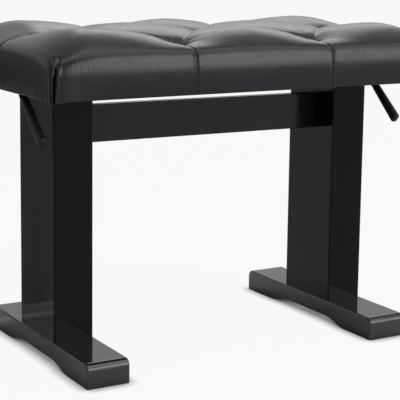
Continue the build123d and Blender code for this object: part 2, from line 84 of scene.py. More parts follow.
def newMaterial(name, look):
    material = bpy.data.materials.new(name)
    material.use_nodes = True
    surface = material.node_tree.nodes["Principled BSDF"]
    surface.inputs["Metallic"].default_value = look.get("metallic", 0.0)
    surface.inputs["IOR"].default_value = look.get("ior", 1.5)
    surface.inputs["Specular Tint"].default_value = (*look.get("tint", (1.0, 1.0, 1.0)), 1)
    return material, material.node_tree, surface


# Camera and light

cameraSetup = {
    "place": (-0.9538, -1.6226, 0.5677),
    "azimuth": 30.498,     # degrees to the right of +Y
    "elevation": -8.807,
    "roll": -0.775,
    "lens": 115.59,
    "shift": -0.125,       # downwards, as the bench stands low in the view
}

studio = {
    "seen": 0.93,          # what the camera sees
    "mirrored": 0.758,     # what reflections see
    "tint": (0.968, 0.972, 1.0),
    "fill": 0.304,         # what the room gives the surfaces
    "floorColour": (0.80, 0.80, 0.81),     # as it bounces light
    "floorShown": (0.034, 0.034, 0.034),   # as it is seen, on top of its own glow
    "floorGlow": 0.921,
    "contactReach": 0.018,                 # how far the shadow under the feet spreads
    "contactDepth": 1.35,
    "glossReach": 0.22,                    # and how far it does in reflections
    "glossDepth": 3.0,
    "floorReach": 18.0,
}

# place, aimed at, width, height, degrees it leans, watts
softBoxes = {
    "ceiling": ((1.0, -1.20, 2.3), (0.85, -1.05, 0.4), 1.6, 3.3, 0.0, 33.0),
    "back": ((1.75, 2.50, 2.10), (0.0, 0.0, 0.45), 1.8, 1.7, 0.0, 10.0),
    "front": ((1.62, -2.85, 1.36), (0.0, -0.1, 1.36), 1.9, 1.70, 10.0, 56.0),
}

# cards out of view, behind the bench's left end, that its gloss reflects
greyCards = {
    "low": {"place": (-0.345, 0.19, 0.186), "size": (0.10, 0.336), "colour": 0.95},
    "high": {"place": (-0.450, 0.20, 0.365), "size": (0.28, 0.23), "colour": 0.28},
}


def direction(azimuth, elevation):
    a, e = math.radians(azimuth), math.radians(elevation)
    return Vector((math.sin(a) * math.cos(e), math.cos(a) * math.cos(e), math.sin(e)))


def makeCamera(setup):
    forward = direction(setup["azimuth"], setup["elevation"])
    level = forward.cross(Vector((0, 0, 1))).normalized()
    down = forward.cross(level)
    roll = math.radians(setup["roll"])
    right = level * math.cos(roll) + down * math.sin(roll)
    up = right.cross(forward)
    camera = bpy.data.objects.new("camera", bpy.data.cameras.new("camera"))
    bpy.context.scene.collection.objects.link(camera)
    turn = Matrix((right, up, -forward)).transposed().to_4x4()
    camera.matrix_world = Matrix.Translation(setup["place"]) @ turn
    camera.data.sensor_width = 36.0
    camera.data.lens = setup["lens"]
    camera.data.shift_y = setup["shift"]
    camera.data.clip_end = 60.0
    bpy.context.scene.camera = camera


def makeSoftBoxes(boxes):
    for name, (place, target, width, height, lean, watts) in boxes.items():
        lamp = bpy.data.lights.new(name, "AREA")
        lamp.shape = "RECTANGLE"
        lamp.size, lamp.size_y, lamp.energy = width, height, watts
        holder = bpy.data.objects.new(name, lamp)
        bpy.context.scene.collection.objects.link(holder)
        holder.location = place
        aim = (Vector(target) - Vector(place)).to_track_quat("-Z", "Y")
        holder.rotation_euler = (aim @ Quaternion((0, 0, 1), math.radians(lean))).to_euler()


# 1 for rays that show the background: the camera's own, reflections and glass
def shownRays(tree):
    rays = addNode(tree, "LightPath").outputs
    bounced = mathNode(tree, "MAXIMUM", rays["Is Glossy Ray"], rays["Is Transmission Ray"])
    return mathNode(tree, "MAXIMUM", rays["Is Camera Ray"], bounced)


# One value for the camera's own rays and another for all others
def byRay(tree, seen, mirrored):
    ray = addNode(tree, "LightPath").outputs["Is Camera Ray"]
    return addNode(tree, "MapRange", {
        "Value": ray, "To Min": mirrored, "To Max": seen}).outputs[0]


def makeWorld(setup):
    world = bpy.data.worlds.new("studio")
    bpy.context.scene.world = world
    world.use_nodes = True
    tree = world.node_tree
    tree.nodes.clear()
    backdrop = byRay(tree, setup["seen"], setup["mirrored"])
    fill, sky = (
        addNode(tree, "Background", {"Color": (*setup["tint"], 1), "Strength": strength})
        for strength in (setup["fill"], backdrop))
    mix = addNode(tree, "MixShader", {
        0: shownRays(tree), 1: fill.outputs[0], 2: sky.outputs[0]})
    addNode(tree, "OutputWorld", {0: mix.outputs[0]})


def addPlane(name, material, **placing):
    deselect()
    bpy.ops.mesh.primitive_plane_add(**placing)
    plane = bpy.context.object
    plane.name = name
    plane.data.materials.append(material)
    return plane


# The floor glows for the rays that show it, less so where the feet shade it
def makeFloor(setup):
    material, tree, surface = newMaterial("pale floor", {})
    surface.inputs["Roughness"].default_value = 0.9
    surface.inputs["Specular IOR Level"].default_value = 0.0
    surface.inputs["Emission Color"].default_value = (1, 1, 1, 1)
    shown = shownRays(tree)
    tone = mixColours(tree, shown, (*setup["floorColour"], 1), (*setup["floorShown"], 1))
    tree.links.new(tone, surface.inputs["Base Color"])
    reach = byRay(tree, setup["contactReach"], setup["glossReach"])
    depth = byRay(tree, setup["contactDepth"], setup["glossDepth"])
    contact = addNode(tree, "AmbientOcclusion", {"Distance": reach}, samples=12)
    shaded = mathNode(tree, "POWER", contact.outputs["AO"], depth)
    glow = mathNode(tree, "MULTIPLY", shaded, setup["floorGlow"])
    seen = mathNode(tree, "MULTIPLY", glow, shown)
    tree.links.new(seen, surface.inputs["Emission Strength"])
    addPlane("floor", material, size=2 * setup["floorReach"])


def makeCard(name, setup):
    material, _, surface = newMaterial("grey card", {})
    surface.inputs["Base Color"].default_value = (*[setup["colour"]] * 3, 1)
    surface.inputs["Roughness"].default_value = 0.9
    card = addPlane("card_" + name, material, size=1, location=setup["place"],
                    rotation=(math.pi / 2, 0, 0))
    card.scale = (*setup["size"], 1)
    card.visible_camera = False


makeCamera(cameraSetup)
makeSoftBoxes(softBoxes)
for name, setup in greyCards.items():
    makeCard(name, setup)
makeWorld(studio)
makeFloor(studio)
bpy.context.scene.view_settings.view_transform = "Standard"
print("camera and studio made")


# Materials

def newGroup(name, inputs, outputs):
    kinds = {float: "NodeSocketFloat", tuple: "NodeSocketVector"}
    group = bpy.data.node_groups.new(name, "ShaderNodeTree")
    for label, value in inputs.items():
        socket = group.interface.new_socket(
            label, in_out="INPUT", socket_type=kinds[type(value)])
        socket.default_value = value
    for label in outputs:
        group.interface.new_socket(label, in_out="OUTPUT", socket_type="NodeSocketFloat")
    start, end = group.nodes.new("NodeGroupInput"), group.nodes.new("NodeGroupOutput")
    return group, start.outputs, end.inputs


def useGroup(tree, group, inputs):
    return addNode(tree, "Group", inputs, node_tree=group)


def objectPlace(tree, stretch=None):
    place = addNode(tree, "TexCoord").outputs["Object"]
    if stretch is None:
        return place
    return addNode(tree, "Mapping", {"Vector": place, "Scale": stretch}).outputs[0]


def axesOf(tree, vector):
    return addNode(tree, "SeparateXYZ", {0: vector}).outputs


# Soft blotches: uneven colour, wiped dust, polish marks
def makeBlotches():
    group, start, end = newGroup("blotches", {
        "Stretch": (1.0, 1.0, 1.0), "Scale": 20.0, "Low": 0.0, "High": 1.0}, ("Value",))
    noise = addNode(group, "TexNoise", {
        "Vector": objectPlace(group, start["Stretch"]), "Scale": start["Scale"],
        "Detail": 4.0, "Roughness": 0.55})
    spread = addNode(group, "MapRange", {
        "Value": noise.outputs[0], "From Min": 0.32, "From Max": 0.68,
        "To Min": start["Low"], "To Max": start["High"]})
    group.links.new(spread.outputs[0], end["Value"])
    return group


# Small pebbles with softer waves among them, for leather, moulded plastic and powder coat
def makePebbles():
    group, start, end = newGroup("pebbles", {
        "Stretch": (1.0, 1.0, 1.0), "Scale": 800.0, "Waves": 0.5}, ("Height",))
    mapped = objectPlace(group, start["Stretch"])
    cells = addNode(group, "TexVoronoi", {
        "Vector": mapped, "Scale": start["Scale"], "Smoothness": 0.35}, feature="SMOOTH_F1")
    wavy = addNode(group, "TexNoise", {
        "Vector": mapped, "Scale": mathNode(group, "MULTIPLY", start["Scale"], 0.22),
        "Detail": 3.0})
    waves = mathNode(group, "MULTIPLY", wavy.outputs[0], start["Waves"])
    domes = mathNode(group, "SUBTRACT", 1.0, cells.outputs["Distance"])
    group.links.new(mathNode(group, "ADD", domes, waves), end["Height"])
    return group


# 1 on sharp edges, from a rounded normal, broken up so that it isn't even
# the finishes paint these edges lighter, partly as wear and partly as a painted highlight
def makeWearAndSheenEdges():
    group, start, end = newGroup("edges", {"Width": 0.0012, "Evenness": 0.5}, ("Mask",))
    rounded = addNode(group, "Bevel", {"Radius": start["Width"]}, samples=6).outputs[0]
    plain = addNode(group, "NewGeometry").outputs["Normal"]
    same = addNode(group, "VectorMath", enumerate((rounded, plain)), operation="DOT_PRODUCT")
    edge = addNode(group, "MapRange", {
        "Value": same.outputs["Value"], "From Min": 0.98, "From Max": 0.80}).outputs[0]
    noise = addNode(group, "TexNoise", {
        "Vector": objectPlace(group), "Scale": 70.0, "Detail": 3.0})
    broken = addNode(group, "MapRange", {
        "Value": noise.outputs[0], "From Min": 0.4, "From Max": 0.6,
        "To Min": start["Evenness"]}).outputs[0]
    group.links.new(mathNode(group, "MULTIPLY", edge, broken), end["Mask"])
    return group


# Fine dust that settles on faces that look up
def makeDust():
    group, start, end = newGroup("dust", {"Amount": 0.2}, ("Mask",))
    up = axesOf(group, addNode(group, "NewGeometry").outputs["Normal"])["Z"]
    facing = addNode(group, "MapRange", {
        "Value": up, "From Min": 0.3, "From Max": 1.0}).outputs[0]
    specks = addNode(group, "TexNoise", {
        "Vector": objectPlace(group), "Scale": 420.0, "Detail": 5.0,
        "Roughness": 0.7}).outputs[0]
    spots = addNode(group, "MapRange", {
        "Value": specks, "From Min": 0.45, "From Max": 0.75}).outputs[0]
    settled = mathNode(group, "MULTIPLY", facing, start["Amount"])
    group.links.new(mathNode(group, "MULTIPLY", settled, spots), end["Mask"])
    return group


# Long fibres with darker pores and wide growth bands
def makeFibres():
    group, start, end = newGroup("fibres", {
        "Stretch": (1.0, 1.0, 1.0), "Fibre": 260.0, "Band": 26.0}, ("Fibre", "Pores", "Bands"))
    mapped = objectPlace(group, start["Stretch"])
    fine = addNode(group, "TexNoise", {
        "Vector": mapped, "Scale": start["Fibre"], "Detail": 5.0, "Roughness": 0.65})
    flecks = addNode(group, "TexVoronoi", {
        "Vector": mapped, "Scale": mathNode(group, "MULTIPLY", start["Fibre"], 1.6)})
    pores = addNode(group, "MapRange", {
        "Value": flecks.outputs["Distance"], "From Min": 0.24, "From Max": 0.08})
    bands = addNode(group, "TexNoise", {
        "Vector": mapped, "Scale": start["Band"], "Detail": 2.0, "Distortion": 1.2})
    wide = addNode(group, "MapRange", {
        "Value": bands.outputs[0], "From Min": 0.35, "From Max": 0.65})
    for label, node in (("Fibre", fine), ("Pores", pores), ("Bands", wide)):
        group.links.new(node.outputs[0], end[label])
    return group


blotches, pebbles, edges, dust, fibres = (
    makeBlotches(), makePebbles(), makeWearAndSheenEdges(), makeDust(), makeFibres())


def bumpOn(tree, surface, height, depth, below=None):
    inputs = {"Height": height, "Distance": depth}
    if below:
        inputs["Normal"] = below
    result = addNode(tree, "Bump", inputs).outputs[0]
    tree.links.new(result, surface.inputs["Normal"])
    return result


# Colour and roughness that vary in blotches, edges painted lighter (part wear, part painted
# highlight), dust, and a fine relief
def makeFinish(name, look):
    look = {**finishDetail, **look}
    material, tree, surface = newMaterial(name, look)
    uneven = useGroup(tree, blotches, {
        "Stretch": look["stretch"], "Scale": look["blotchScale"]})
    colour = mixColours(tree, uneven.outputs[0], (*look["colour"], 1), (*look["other"], 1))
    # edges painted lighter: partly wear, partly a painted highlight
    wornAndSheen = useGroup(tree, edges, {"Width": look["edgeWidth"]})
    shareWornAndSheen = mathNode(tree, "MULTIPLY", wornAndSheen.outputs[0], look["wearAndSheen"])
    colour = mixColours(tree, shareWornAndSheen, colour, (*look["wornAndSheen"], 1))
    settled = useGroup(tree, dust, {"Amount": look["dust"]}).outputs[0]
    colour = mixColours(tree, settled, colour, (*look["dustColour"], 1))
    tree.links.new(colour, surface.inputs["Base Color"])
    low, high = look["roughness"]
    gloss = useGroup(tree, blotches, {
        "Stretch": look["stretch"], "Scale": look["blotchScale"] * look["glossFiner"],
        "Low": low, "High": high})
    dusty = mathNode(tree, "MULTIPLY", settled, look["dustDulls"])
    dulled = mathNode(tree, "MAXIMUM", gloss.outputs[0], dusty)
    tree.links.new(dulled, surface.inputs["Roughness"])
    grain = useGroup(tree, pebbles, {
        "Stretch": look["stretch"], "Scale": look["grainScale"], "Waves": look["waves"]})
    bumpOn(tree, surface, grain.outputs[0], look["grainDepth"])
    return material, tree, surface


# what a finish has unless it says otherwise
finishDetail = {
    "stretch": (1.0, 1.0, 1.0), "edgeWidth": 0.0010, "wearAndSheen": 0.3, "waves": 0.5,
    "dust": 0.03, "dustColour": (0.55, 0.53, 0.50), "dustDulls": 1.5,
    "glossFiner": 2.7,          # how much finer the gloss's blotches are than the colour's
}

# each finish's lighter edge colour is partly wear and partly a painted highlight
finishes = {
    "columnLacquer": {
        "colour": (0.0022, 0.0022, 0.0025), "other": (0.0032, 0.0032, 0.0036),
        "wornAndSheen": (0.030, 0.030, 0.032), "wearAndSheen": 0.10, "roughness": (0.045, 0.085), "ior": 1.20,
        "blotchScale": 9.0, "grainScale": 260.0, "grainDepth": 0.000004, "waves": 2.0,
        "dust": 0.012},
    "footLacquer": {
        "colour": (0.0024, 0.0024, 0.0027), "other": (0.0038, 0.0038, 0.0042),
        "wornAndSheen": (0.045, 0.045, 0.048), "wearAndSheen": 0.35, "roughness": (0.05, 0.11), "ior": 1.50,
        "blotchScale": 11.0, "grainScale": 240.0, "grainDepth": 0.000005, "waves": 2.0,
        "dust": 0.030},
    "stretcherLacquer": {
        "colour": (0.0060, 0.0061, 0.0066), "other": (0.0085, 0.0086, 0.0092),
        "wornAndSheen": (0.035, 0.035, 0.037), "wearAndSheen": 0.25, "roughness": (0.16, 0.22), "ior": 1.31,
        "blotchScale": 12.0, "grainScale": 300.0, "grainDepth": 0.000006, "waves": 1.5,
        "dust": 0.02},
    "zincSteel": {
        "colour": (0.56, 0.57, 0.59), "other": (0.64, 0.64, 0.62), "wornAndSheen": (0.75, 0.75, 0.76),
        "metallic": 1.0, "roughness": (0.26, 0.42), "blotchScale": 60.0, "edgeWidth": 0.0005,
        "grainScale": 1400.0, "grainDepth": 0.00002, "wearAndSheen": 0.6, "dust": 0.01},
    "brushedSteel": {
        "colour": (0.52, 0.53, 0.55), "other": (0.60, 0.60, 0.61), "wornAndSheen": (0.72, 0.72, 0.73),
        "metallic": 1.0, "roughness": (0.24, 0.38), "stretch": (1.0, 1.0, 0.03),
        "blotchScale": 120.0, "grainScale": 1800.0, "grainDepth": 0.000015, "wearAndSheen": 0.5,
        "dust": 0.01},
    "blackSteel": {
        "colour": (0.022, 0.022, 0.024), "other": (0.030, 0.030, 0.032),
        "wornAndSheen": (0.16, 0.16, 0.165), "wearAndSheen": 0.35, "roughness": (0.36, 0.50), "ior": 1.45,
        "blotchScale": 40.0, "grainScale": 1500.0, "grainDepth": 0.00006, "waves": 1.2},
    "polishedRod": {
        "colour": (0.70, 0.70, 0.71), "other": (0.76, 0.76, 0.77), "wornAndSheen": (0.80, 0.80, 0.80),
        "metallic": 1.0, "roughness": (0.06, 0.13), "stretch": (1.0, 1.0, 0.15),
        "blotchScale": 90.0, "grainScale": 900.0, "grainDepth": 0.000003, "dust": 0.0},
    "nylon": {
        "colour": (0.026, 0.026, 0.028), "other": (0.036, 0.036, 0.038),
        "wornAndSheen": (0.10, 0.10, 0.10), "wearAndSheen": 0.3, "roughness": (0.42, 0.58), "ior": 1.5,
        "blotchScale": 50.0, "grainScale": 1900.0, "grainDepth": 0.00003},
    "gripPlastic": {
        "colour": (0.0075, 0.0075, 0.0080), "other": (0.0100, 0.0100, 0.0105),
        "wornAndSheen": (0.04, 0.04, 0.04), "wearAndSheen": 0.2, "roughness": (0.34, 0.46), "ior": 1.28,
        "blotchScale": 45.0, "grainScale": 1300.0, "grainDepth": 0.00005, "waves": 0.8},
    "rubber": {
        "colour": (0.020, 0.020, 0.020), "other": (0.032, 0.031, 0.030),
        "wornAndSheen": (0.07, 0.07, 0.068), "wearAndSheen": 0.4, "roughness": (0.65, 0.85), "ior": 1.45,
        "blotchScale": 60.0, "grainScale": 900.0, "grainDepth": 0.00004, "waves": 1.0},
}

# the same for every wood
woodDetail = {
    "fibreShade": 0.5, "poreShade": 0.6, "plyShade": 0.7, "relief": 0.00012,
    "glossScale": 90.0, "dust": 0.05, "dustColour": (0.6, 0.58, 0.54),
}

woods = {
    "plywood": {
        "pale": (0.66, 0.50, 0.33), "dark": (0.50, 0.34, 0.20), "pore": (0.30, 0.19, 0.11),
        "stretch": (0.045, 1.0, 1.0), "fibre": 210.0, "band": 22.0, "roughness": (0.55, 0.72),
        "plies": 0.0024},
    "beechAlong": {
        "pale": (0.63, 0.43, 0.27), "dark": (0.53, 0.33, 0.19), "pore": (0.33, 0.19, 0.11),
        "stretch": (0.06, 1.0, 1.0), "fibre": 320.0, "band": 34.0, "roughness": (0.48, 0.62)},
    "beechAcross": {
        "pale": (0.64, 0.44, 0.28), "dark": (0.52, 0.33, 0.19), "pore": (0.32, 0.19, 0.11),
        "stretch": (1.0, 0.06, 1.0), "fibre": 320.0, "band": 34.0, "roughness": (0.48, 0.62)},
    "beechUpright": {
        "pale": (0.62, 0.43, 0.27), "dark": (0.50, 0.32, 0.18), "pore": (0.31, 0.18, 0.10),
        "stretch": (1.0, 1.0, 0.06), "fibre": 300.0, "band": 30.0, "roughness": (0.50, 0.66)},
}


def makeWood(name, look):
    material, tree, surface = newMaterial(name, look)
    grain = useGroup(tree, fibres, {
        "Stretch": look["stretch"], "Fibre": look["fibre"], "Band": look["band"]}).outputs
    colour = mixColours(tree, grain["Bands"], (*look["pale"], 1), (*look["dark"], 1))
    shaded = mathNode(tree, "MULTIPLY", grain["Fibre"], look["fibreShade"])
    colour = mixColours(tree, shaded, colour, (*look["dark"], 1))
    pitted = mathNode(tree, "MULTIPLY", grain["Pores"], look["poreShade"])
    colour = mixColours(tree, pitted, colour, (*look["pore"], 1))
    if "plies" in look:     # cut edges show the layers
        height = axesOf(tree, objectPlace(tree))["Z"]
        facing = axesOf(tree, addNode(tree, "NewGeometry").outputs["Normal"])["Z"]
        layer = mathNode(tree, "PINGPONG", height, look["plies"] / 2)
        dark = mathNode(tree, "GREATER_THAN", layer, look["plies"] / 4)
        side = mathNode(tree, "LESS_THAN", mathNode(tree, "ABSOLUTE", facing), 0.5)
        cutEdge = mathNode(tree, "MULTIPLY", dark, side)
        share = mathNode(tree, "MULTIPLY", cutEdge, look["plyShade"])
        colour = mixColours(tree, share, colour, (*look["pore"], 1))
    settled = useGroup(tree, dust, {"Amount": look["dust"]}).outputs[0]
    colour = mixColours(tree, settled, colour, (*look["dustColour"], 1))
    tree.links.new(colour, surface.inputs["Base Color"])
    low, high = look["roughness"]
    gloss = useGroup(tree, blotches, {
        "Stretch": look["stretch"], "Scale": look["glossScale"], "Low": low, "High": high})
    tree.links.new(gloss.outputs[0], surface.inputs["Roughness"])
    relief = mathNode(tree, "SUBTRACT", grain["Fibre"], grain["Pores"])
    bumpOn(tree, surface, relief, look["relief"])
    return material


# Mixes a value over what already feeds a socket
def addOver(tree, surface, name, share, value):
    source = surface.inputs[name].links[0].from_socket
    if isinstance(value, tuple):
        result = mixColours(tree, share, source, (*value, 1))
    else:
        result = addNode(tree, "Mix", {"Factor": share, "A": source, "B": value}).outputs[0]
    tree.links.new(result, surface.inputs[name])


# The feet's end faces are painted lighter and greyer, painted light for the brighter
# reflection they show, and made rougher
paintedFootEnds = {"from": 0.1655, "to": 0.1672, "colour": (0.016, 0.016, 0.018), "roughness": 0.30}


def paintEndsLighter(tree, surface, look):
    fromMiddle = mathNode(tree, "ABSOLUTE", axesOf(tree, objectPlace(tree))["Y"])
    # the end faces, which get painted light
    end = addNode(tree, "MapRange", {
        "Value": fromMiddle, "From Min": look["from"], "From Max": look["to"]}).outputs[0]
    addOver(tree, surface, "Base Color", end, look["colour"])
    addOver(tree, surface, "Roughness", end, look["roughness"])


leatherLook = {
    "colour": (0.0036, 0.0038, 0.0044), "other": (0.0050, 0.0052, 0.0060),
    "wornAndSheen": (0.02, 0.02, 0.022), "wearAndSheen": 0.0, "roughness": (0.235, 0.295), "ior": 1.35,
    "tint": (0.93, 0.955, 1.0),
    "blotchScale": 16.0, "grainScale": 950.0, "grainDepth": 0.000030, "waves": 1.6,
    "dust": 0.0025,
    "creaseScale": 46.0, "creaseDepth": 0.00013, "creaseStretch": (1.0, 1.0, 0.35),
}


# Leather: pebbled, with soft creases
def makeLeather(look):
    material, tree, surface = makeFinish("black leather", look)
    grain = surface.inputs["Normal"].links[0].from_socket
    creases = useGroup(tree, blotches, {
        "Stretch": look["creaseStretch"], "Scale": look["creaseScale"]})
    bumpOn(tree, surface, creases.outputs[0], look["creaseDepth"], grain)
    return material


finishedNodes = {
    "columnLacquer": ("left_column", "right_column"),
    "footLacquer": ("left_foot", "right_foot"),
    "stretcherLacquer": ("stretcher",),
    "zincSteel": ("stretcher_screws", "foot_bolts", "foot_washers", "threaded_inserts",
                  "bracket_screws", "spring_pins", "rod_nuts", "carrier_screws",
                  "board_screws", "set_screws"),
    "brushedSteel": ("release_shaft", "left_spring_bracket", "right_spring_bracket",
                     "left_valve_finger", "right_valve_finger"),
    "blackSteel": ("left_gas_cylinder", "right_gas_cylinder", "left_slide_tube",
                   "right_slide_tube", "left_carrier", "right_carrier", "left_lever",
                   "right_lever"),
    "polishedRod": ("left_gas_rod", "right_gas_rod", "left_valve_pin", "right_valve_pin"),
    "nylon": ("left_guide_collar", "right_guide_collar", "lower_guides", "shaft_bushes",
              "foot_glides"),
    "gripPlastic": ("left_grip", "right_grip"),
    "rubber": ("buffer_pads",),
    "plywood": ("seat_board",),
    "beechAlong": ("front_rail", "back_rail"),
    "beechAcross": ("left_end_rail", "right_end_rail"),
    "beechUpright": ("corner_blocks", "left_base_block", "right_base_block"),
}


def finishNodes():
    made = {}
    for name, chosen in finishedNodes.items():
        if name in woods:
            made[name] = makeWood(name, {**woodDetail, **woods[name]})
        else:
            made[name], tree, surface = makeFinish(name, finishes[name])
            # the feet's end faces are painted lighter, as painted light
            if name == "footLacquer":
                paintEndsLighter(tree, surface, paintedFootEnds)
        for node in chosen:
            nodes[node].material_slots[0].material = made[name]
    print("finishes given to", sum(len(chosen) for chosen in finishedNodes.values()), "nodes")
    return made


made = finishNodes()
leather = makeLeather(leatherLook)


# Seat: one leather skin over foam, tufted without buttons, its hem stapled under the rails

seatLook = {
    "cellsAlong": 164, "cellsAcross": 94, "sideRows": 11,
    "tighter": (2.4, 0.012),    # how much closer the mesh is at edges and tufts, and how far
    "crown": 0.4665,            # height of the puffs' tops before they swell
    "rimHeight": 0.4115,        # where the upright sides begin to roll over
    "sideRadius": 0.080,        # of the sides' slow curve
    "bendRadius": 0.014,        # of the tighter one at their top
    "sideTurn": 18.0,           # degrees that the side turns before the bend
    "domeTurn": 36.0,           # degrees that the puffs' tops turn before it
    "cornerSag": 0.003, "sagReach": 0.045,
    "leftSag": 0.0026,          # how much lower the edge hangs at the left end
    "underTurn": 0.0022,        # how far the sides turn in towards the hem
    "turnFade": (0.03, 0.05),   # how far from a corner that begins, and over what length
    "cornerReach": 0.030, "cornerRound": 0.30,
    "frontTufts": 0.109,        # X of the tufts near the front and back edges
    "endTufts": 0.218,          # X of the end tufts of the middle row
    "edgeRow": 0.132,           # Y of the front and back rows
    "proud": 0.003,             # how far the sides bulge past the frame between seams
    "edgeDepth": 0.021,         # depth of the front and back tufts
    "middleDepth": 0.018,
    "pleatDepth": 0.011,        # half way between two tufts
    "pleatReach": 0.6,          # how far apart they may be along X, as a share of endTufts
    "seamDepth": 0.0012,        # where a seam reaches the upright side
    "seamMidway": 0.85, "seamAtHem": 0.25,  # as shares of the tuft's depth and of seamDepth
    "seamStop": 0.022,          # how far above the upright side the seam is that shallow
    "slopeReach": 0.090,        # the puffs' long slopes towards pleats and tufts
    "slopeStop": 0.60,          # how far down the edge those slopes end, as a share
    "slopeCurve": 1.5,
    "creaseReach": 0.016,       # the short steep side of a pleat
    "creaseShare": 0.3,
    "blend": 4,                 # how sharply one pleat takes over from the next
    "heldReach": 0.010,         # the foam pulls the leather down this near to pleats and tufts
    "heldFirm": 1.6,            # and how firmly
    "heldSide": 0.75,           # how firmly the stretched sides hold their shape
    "heldEdge": 0.35,           # how far down the edge they begin, as a share
    "heldWall": 0.45,           # how far down the upright side it lies on wood, as a share
    "heldFade": 0.2,
    "frames": 20, "swellCap": 0.0032,   # of the cloth's run, and the most that it swells
    "cloth": {
        "quality": 6, "mass": 0.25, "tension_stiffness": 12, "compression_stiffness": 12,
        "shear_stiffness": 8, "bending_stiffness": 0.4, "use_pressure": True,
        "uniform_pressure_force": 4.0},
}

foldLook = {
    "seed": 7,
    "pleat": (0.0016, 0.0018),          # depth and half width of the crease along a pleat
    "pleatShare": (0.55, 0.45),         # of that depth midway, and what its ends have on top
    "seam": (0.0011, 0.0008),           # of the stitched groove over the edge
    "lip": (0.0004, 0.0030, 0.0016),    # height, distance and width of the ridge beside a seam
    "pucker": (0.00012, 0.0066, 0.006), # ripples along a seam: height, pitch, reach
    "puckerSway": (1.3, 0.9),           # how unevenly they follow one another
    "puckerLeast": 0.3,
    "tuft": (0.0030, 0.0040),
    "bowl": (0.0030, 0.018),            # the wider hollow round a tuft
    "tuck": (0.0016, 0.013),            # folds that fan out from a tuft: height, reach
    "tuckWaves": (3, 5, 7, 11), "tuckShare": 2.2,   # folds in a turn, added up and divided
    "streak": (0.00011, 0.0048),        # fine upright wrinkles on the roll: height, pitch
    "streakBand": (0.012, 0.016),       # their place above the upright side, and half width
    "streakPatches": ((43, 1.0), (71, 2.0)),        # pace and phase of where they come
    "streakSway": (2.2, 190),           # how crooked they are: amount, pace
    "foldTop": 0.025, "foldFade": 0.0045,
    "foldLater": 0.2,                   # share of the height over which a late fold begins
    # folds at the corners: depth, half width and place round the corner, at the top then at
    # the hem, and how far down the fold begins
    "cornerFolds": (
        (0.0054, 0.0027, 0.0046, 0.0050, 0.0014, 0.0016, 0.0),
        (0.0034, 0.0019, -0.0072, 0.0034, 0.0012, -0.0036, 0.0),
        (0.0022, 0.0018, -0.0220, 0.0020, 0.0014, -0.0140, 0.35),
        (-0.0014, 0.0026, 0.0096, -0.0008, 0.0020, 0.0056, 0.0),
    ),
}

hemLook = {
    "edge": (0.0008, 0.0004),   # how far the turned edge goes in and down
    "width": 0.0125, "thickness": 0.0015, "wallInset": 0.0032, "boardClear": 0.0006,
}


# Puts the piece in edit mode with its open edge selected
def editOpenEdge(piece):
    selectOnly(piece)
    bpy.ops.object.mode_set(mode="EDIT")
    bpy.ops.mesh.select_mode(type="EDGE")
    bpy.ops.mesh.select_all(action="DESELECT")
    bpy.ops.mesh.select_non_manifold()


def applyModifier(piece, kind, **settings):
    selectOnly(piece)
    bpy.ops.object.modifier_add(type=kind)
    modifier = piece.modifiers[-1]
    for name, value in settings.items():
        setattr(modifier, name, value)
    bpy.ops.object.modifier_apply(modifier=modifier.name)


def readPoints(piece, kind="co"):
    flat = np.zeros(len(piece.data.vertices) * 3)
    piece.data.vertices.foreach_get(kind, flat)
    return flat.reshape(-1, 3)


def writePoints(piece, points):
    piece.data.vertices.foreach_set("co", points.ravel())
    piece.data.update()


def keepValues(piece, name, values):
    layer = piece.data.attributes.new(name, "FLOAT", "POINT")
    layer.data.foreach_set("value", np.ascontiguousarray(values, dtype=np.float32))


def keptValues(piece, name):
    values = np.zeros(len(piece.data.vertices), dtype=np.float32)
    piece.data.attributes[name].data.foreach_get("value", values)
    return values.astype(float)


def bump(distance, width):
    return np.exp(-(distance / width) ** 2)


def smooth(share):
    return share * share * (3 - 2 * share)


# Places from -half to half, closer together near the given ones
def tightened(half, count, places, closer, reach):
    fine = np.linspace(-half, half, 4001)
    density = np.ones_like(fine)
    for place in places:
        density += (closer - 1) * np.exp(-((fine - place) / reach) ** 2)
    total = np.concatenate(([0.0], np.cumsum((density[1:] + density[:-1]) / 2)))
    return np.interp(np.linspace(0, total[-1], count + 1), total, fine)


# The edge's curve from flat to upright: lengths along the leather, with plan and fall at each
def edgeCurve(look):
    dome, steep = math.radians(look["domeTurn"]), math.radians(90 - look["sideTurn"])
    bend, side = look["bendRadius"], look["sideRadius"]
    bendFall = bend * (math.cos(dome) - math.cos(steep))
    domeFall = look["crown"] - look["rimHeight"] - side * math.cos(steep) - bendFall
    domeRadius = domeFall / (1 - math.cos(dome))
    ends = np.cumsum([
        0, domeRadius * dome, bend * (steep - dome), side * (math.pi / 2 - steep)])
    along = np.linspace(0, ends[-1], 601)
    angle = np.interp(along, ends, (0, dome, steep, math.pi / 2))
    middle = (angle[1:] + angle[:-1]) / 2
    plan, drop = (
        np.concatenate(([0.0], np.cumsum(steps) * along[1]))
        for steps in (np.cos(middle), np.sin(middle)))
    return along, plan, drop / drop[-1]


# Where a place on the flat sheet ends up across the seat, and how far it has fallen (0 to 1)
def overEdge(sheet, half, curve):
    along, plan, drop = curve
    start = half - plan[-1]
    beyond = np.clip(np.abs(sheet) - start, 0, along[-1])
    place = np.minimum(np.abs(sheet), start) + np.interp(beyond, along, plan)
    return np.sign(sheet) * place, np.interp(beyond, along, drop)


# Half the flat sheet's length and width, up to the upright sides
def sheetHalves(look, box):
    along, plan, _ = edgeCurve(look)
    unrolled = along[-1] - plan[-1] + look["proud"]
    return box[1].x + unrolled, box[1].y + unrolled


def tuftPlaces(look):
    a, b, c = look["frontTufts"], look["edgeRow"], look["endTufts"]
    edge, middle = look["edgeDepth"], look["middleDepth"]
    corners = [(x, y, edge) for x in (-a, a) for y in (-b, b)]
    return corners + [(x, 0.0, middle) for x in (-c, 0.0, c)]


